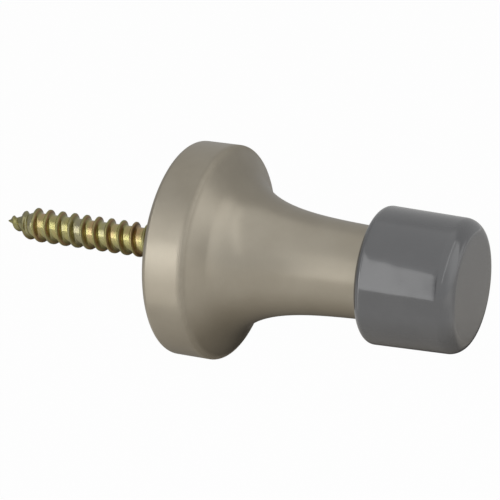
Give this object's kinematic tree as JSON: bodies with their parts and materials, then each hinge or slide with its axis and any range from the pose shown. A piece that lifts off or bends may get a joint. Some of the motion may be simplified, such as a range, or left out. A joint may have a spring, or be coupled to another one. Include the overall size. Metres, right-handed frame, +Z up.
{
  "type": "baseboard door stop",
  "caption": "Trumpet-shaped metal door stop with a grey rubber tip and a wood-thread stud that screws into a baseboard.",
  "frame": {"origin": "centre of the back face that meets the wall or baseboard, on the axis of the stop", "axes": "+X out of the wall along the stop's axis to the rubber tip, +Z up, the stud points along -X into the wall"},
  "size_m": [0.0904, 0.038, 0.038],
  "materials": {
    "satin_nickel": "satin nickel plate on a zinc casting",
    "grey_rubber": "moulded grey rubber, semi-gloss",
    "yellow_zinc": "yellow passivated zinc plate on steel"
  },
  "bodies": {
    "root": {"body": "satin_nickel", "rubber_tip": "grey_rubber", "wood_screw": "yellow_zinc"}
  },
  "joints": []
}
